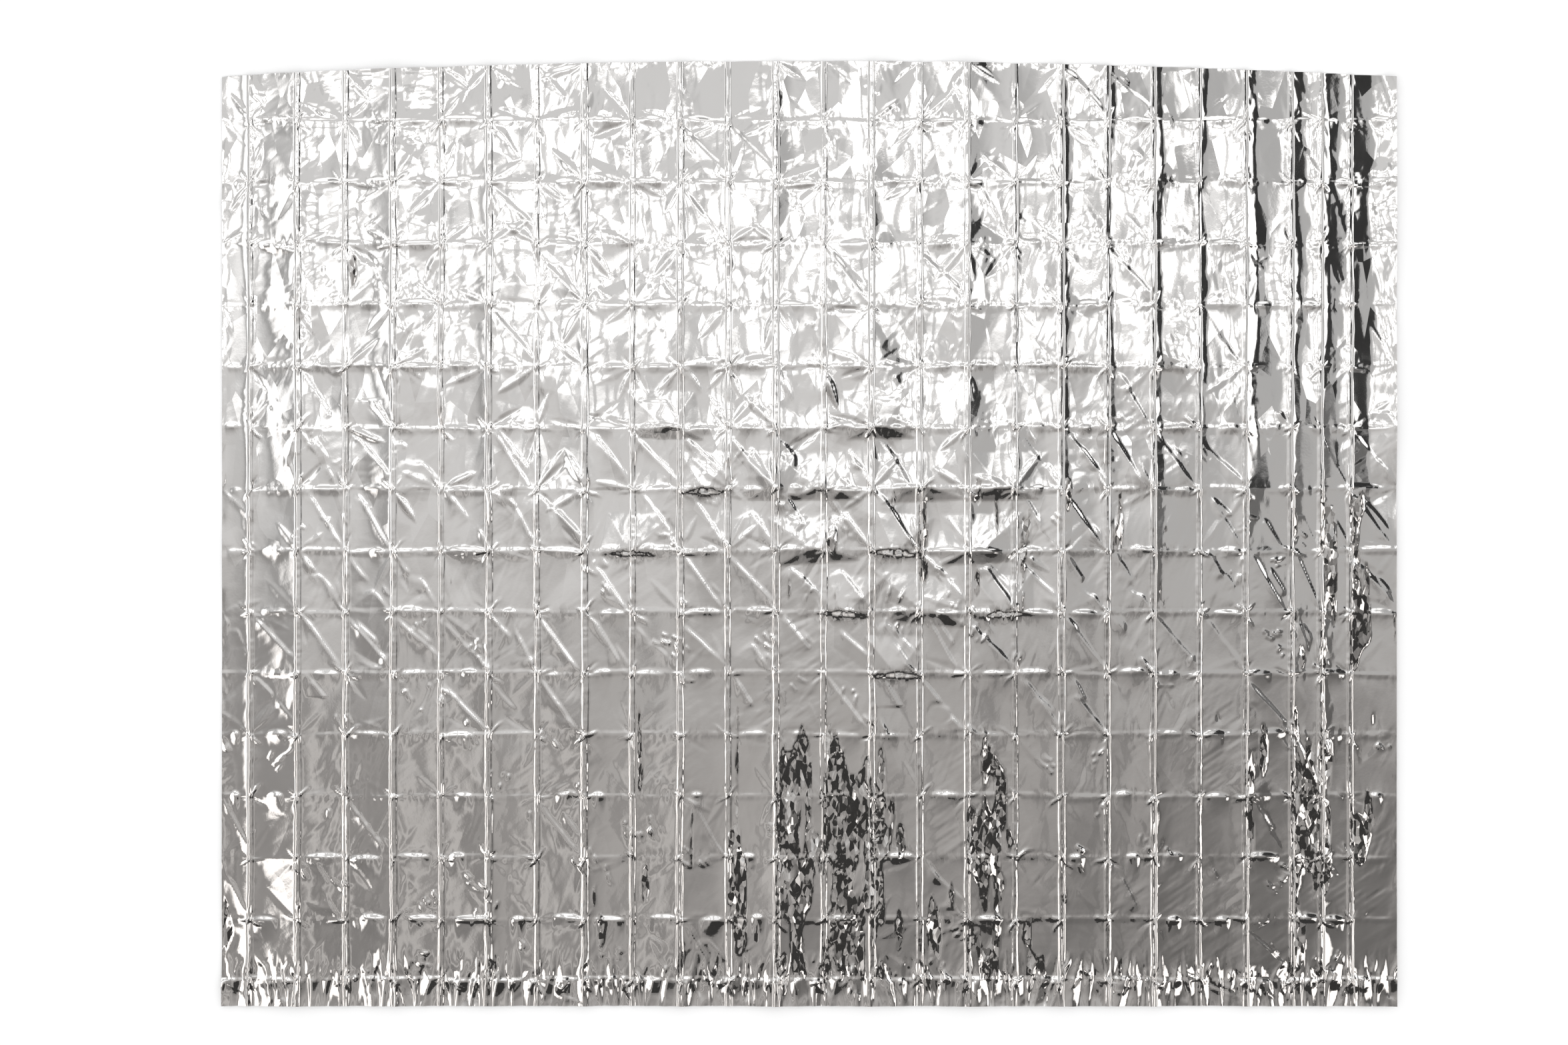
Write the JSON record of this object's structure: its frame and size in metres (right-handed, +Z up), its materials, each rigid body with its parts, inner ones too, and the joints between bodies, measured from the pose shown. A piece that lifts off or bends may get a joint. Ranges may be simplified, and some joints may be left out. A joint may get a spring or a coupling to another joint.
{
  "type": "emergency blanket",
  "caption": "Thin single-ply blanket of silvery metallised film, laid open with its creases still in it, that folds up like a concertina into a narrow pack.",
  "frame": {"origin": "middle of the overall box, at ground level", "axes": "+X across the creases, from the root edge panel towards the free edge; +Y along the creases; +Z up"},
  "size_m": [1.9874, 1.6, 0.0118],
  "materials": {
    "metallised_film": "mirror-bright vacuum-deposited aluminium on clear polyester film"
  },
  "bodies": {
    "edge_panel": {"fold_panel_00": "metallised_film"},
    "panel_01": {"fold_panel_01": "metallised_film"},
    "panel_02": {"fold_panel_02": "metallised_film"},
    "panel_03": {"fold_panel_03": "metallised_film"},
    "panel_04": {"fold_panel_04": "metallised_film"},
    "panel_05": {"fold_panel_05": "metallised_film"},
    "panel_06": {"fold_panel_06": "metallised_film"},
    "panel_07": {"fold_panel_07": "metallised_film"},
    "panel_08": {"fold_panel_08": "metallised_film"},
    "panel_09": {"fold_panel_09": "metallised_film"},
    "panel_10": {"fold_panel_10": "metallised_film"},
    "panel_11": {"fold_panel_11": "metallised_film"},
    "panel_12": {"fold_panel_12": "metallised_film"},
    "panel_13": {"fold_panel_13": "metallised_film"},
    "panel_14": {"fold_panel_14": "metallised_film"},
    "panel_15": {"fold_panel_15": "metallised_film"},
    "panel_16": {"fold_panel_16": "metallised_film"},
    "panel_17": {"fold_panel_17": "metallised_film"},
    "panel_18": {"fold_panel_18": "metallised_film"},
    "panel_19": {"fold_panel_19": "metallised_film"},
    "panel_20": {"fold_panel_20": "metallised_film"},
    "panel_21": {"fold_panel_21": "metallised_film"},
    "panel_22": {"fold_panel_22": "metallised_film"},
    "panel_23": {"fold_panel_23": "metallised_film"},
    "panel_24": {"fold_panel_24": "metallised_film"},
    "panel_25": {"fold_panel_25": "metallised_film"}
  },
  "joints": [
    {"name": "crease_01", "type": "hinge", "parent": "edge_panel", "child": "panel_01", "pos_m": [-0.94568, 0, 0.00015], "axis": [0, -1, 0], "range_deg": [0, 77.5]},
    {"name": "crease_02", "type": "hinge", "parent": "panel_01", "child": "panel_02", "pos_m": [-0.86476, 0, 0.00368], "axis": [0, 1, 0], "range_deg": [0, 155.01]},
    {"name": "crease_03", "type": "hinge", "parent": "panel_02", "child": "panel_03", "pos_m": [-0.78384, 0, 0.00015], "axis": [0, -1, 0], "range_deg": [0, 155.01]},
    {"name": "crease_04", "type": "hinge", "parent": "panel_03", "child": "panel_04", "pos_m": [-0.70292, 0, 0.00368], "axis": [0, 1, 0], "range_deg": [0, 155.01]},
    {"name": "crease_05", "type": "hinge", "parent": "panel_04", "child": "panel_05", "pos_m": [-0.62199, 0, 0.00015], "axis": [0, -1, 0], "range_deg": [0, 155.01]},
    {"name": "crease_06", "type": "hinge", "parent": "panel_05", "child": "panel_06", "pos_m": [-0.54107, 0, 0.00368], "axis": [0, 1, 0], "range_deg": [0, 155.01]},
    {"name": "crease_07", "type": "hinge", "parent": "panel_06", "child": "panel_07", "pos_m": [-0.46015, 0, 0.00015], "axis": [0, -1, 0], "range_deg": [0, 155.01]},
    {"name": "crease_08", "type": "hinge", "parent": "panel_07", "child": "panel_08", "pos_m": [-0.37922, 0, 0.00368], "axis": [0, 1, 0], "range_deg": [0, 155.01]},
    {"name": "crease_09", "type": "hinge", "parent": "panel_08", "child": "panel_09", "pos_m": [-0.2983, 0, 0.00015], "axis": [0, -1, 0], "range_deg": [0, 155.01]},
    {"name": "crease_10", "type": "hinge", "parent": "panel_09", "child": "panel_10", "pos_m": [-0.21738, 0, 0.00368], "axis": [0, 1, 0], "range_deg": [0, 155.01]},
    {"name": "crease_11", "type": "hinge", "parent": "panel_10", "child": "panel_11", "pos_m": [-0.13646, 0, 0.00015], "axis": [0, -1, 0], "range_deg": [0, 155.01]},
    {"name": "crease_12", "type": "hinge", "parent": "panel_11", "child": "panel_12", "pos_m": [-0.05553, 0, 0.00368], "axis": [0, 1, 0], "range_deg": [0, 155.01]},
    {"name": "crease_13", "type": "hinge", "parent": "panel_12", "child": "panel_13", "pos_m": [0.02539, 0, 0.00015], "axis": [0, -1, 0], "range_deg": [0, 155.01]},
    {"name": "crease_14", "type": "hinge", "parent": "panel_13", "child": "panel_14", "pos_m": [0.10631, 0, 0.00368], "axis": [0, 1, 0], "range_deg": [0, 155.01]},
    {"name": "crease_15", "type": "hinge", "parent": "panel_14", "child": "panel_15", "pos_m": [0.18724, 0, 0.00015], "axis": [0, -1, 0], "range_deg": [0, 155.01]},
    {"name": "crease_16", "type": "hinge", "parent": "panel_15", "child": "panel_16", "pos_m": [0.26816, 0, 0.00368], "axis": [0, 1, 0], "range_deg": [0, 155.01]},
    {"name": "crease_17", "type": "hinge", "parent": "panel_16", "child": "panel_17", "pos_m": [0.34908, 0, 0.00015], "axis": [0, -1, 0], "range_deg": [0, 155.01]},
    {"name": "crease_18", "type": "hinge", "parent": "panel_17", "child": "panel_18", "pos_m": [0.42701, 0, 0.00355], "axis": [0, 1, 0], "range_deg": [0, 155.01]},
    {"name": "crease_19", "type": "hinge", "parent": "panel_18", "child": "panel_19", "pos_m": [0.50493, 0, 0.00015], "axis": [0, -1, 0], "range_deg": [0, 155.01]},
    {"name": "crease_20", "type": "hinge", "parent": "panel_19", "child": "panel_20", "pos_m": [0.58286, 0, 0.00355], "axis": [0, 1, 0], "range_deg": [0, 155.01]},
    {"name": "crease_21", "type": "hinge", "parent": "panel_20", "child": "panel_21", "pos_m": [0.66078, 0, 0.00015], "axis": [0, -1, 0], "range_deg": [0, 155.01]},
    {"name": "crease_22", "type": "hinge", "parent": "panel_21", "child": "panel_22", "pos_m": [0.73871, 0, 0.00355], "axis": [0, 1, 0], "range_deg": [0, 155.01]},
    {"name": "crease_23", "type": "hinge", "parent": "panel_22", "child": "panel_23", "pos_m": [0.81664, 0, 0.00015], "axis": [0, -1, 0], "range_deg": [0, 155.01]},
    {"name": "crease_24", "type": "hinge", "parent": "panel_23", "child": "panel_24", "pos_m": [0.86659, 0, 0.00233], "axis": [0, 1, 0], "range_deg": [0, 155.01]},
    {"name": "crease_25", "type": "hinge", "parent": "panel_24", "child": "panel_25", "pos_m": [0.91654, 0, 0.00015], "axis": [0, -1, 0], "range_deg": [0, 149.02]}
  ],
  "couplings": [
    {"joint": "crease_02", "follows": "crease_01", "ratio": 2},
    {"joint": "crease_03", "follows": "crease_01", "ratio": 2},
    {"joint": "crease_04", "follows": "crease_01", "ratio": 2},
    {"joint": "crease_05", "follows": "crease_01", "ratio": 2},
    {"joint": "crease_06", "follows": "crease_01", "ratio": 2},
    {"joint": "crease_07", "follows": "crease_01", "ratio": 2},
    {"joint": "crease_08", "follows": "crease_01", "ratio": 2},
    {"joint": "crease_09", "follows": "crease_01", "ratio": 2},
    {"joint": "crease_10", "follows": "crease_01", "ratio": 2},
    {"joint": "crease_11", "follows": "crease_01", "ratio": 2},
    {"joint": "crease_12", "follows": "crease_01", "ratio": 2},
    {"joint": "crease_13", "follows": "crease_01", "ratio": 2},
    {"joint": "crease_14", "follows": "crease_01", "ratio": 2},
    {"joint": "crease_15", "follows": "crease_01", "ratio": 2},
    {"joint": "crease_16", "follows": "crease_01", "ratio": 2},
    {"joint": "crease_17", "follows": "crease_01", "ratio": 2},
    {"joint": "crease_18", "follows": "crease_01", "ratio": 2},
    {"joint": "crease_19", "follows": "crease_01", "ratio": 2},
    {"joint": "crease_20", "follows": "crease_01", "ratio": 2},
    {"joint": "crease_21", "follows": "crease_01", "ratio": 2},
    {"joint": "crease_22", "follows": "crease_01", "ratio": 2},
    {"joint": "crease_23", "follows": "crease_01", "ratio": 2},
    {"joint": "crease_24", "follows": "crease_01", "ratio": 2},
    {"joint": "crease_25", "follows": "crease_01", "ratio": 1.9226}
  ]
}
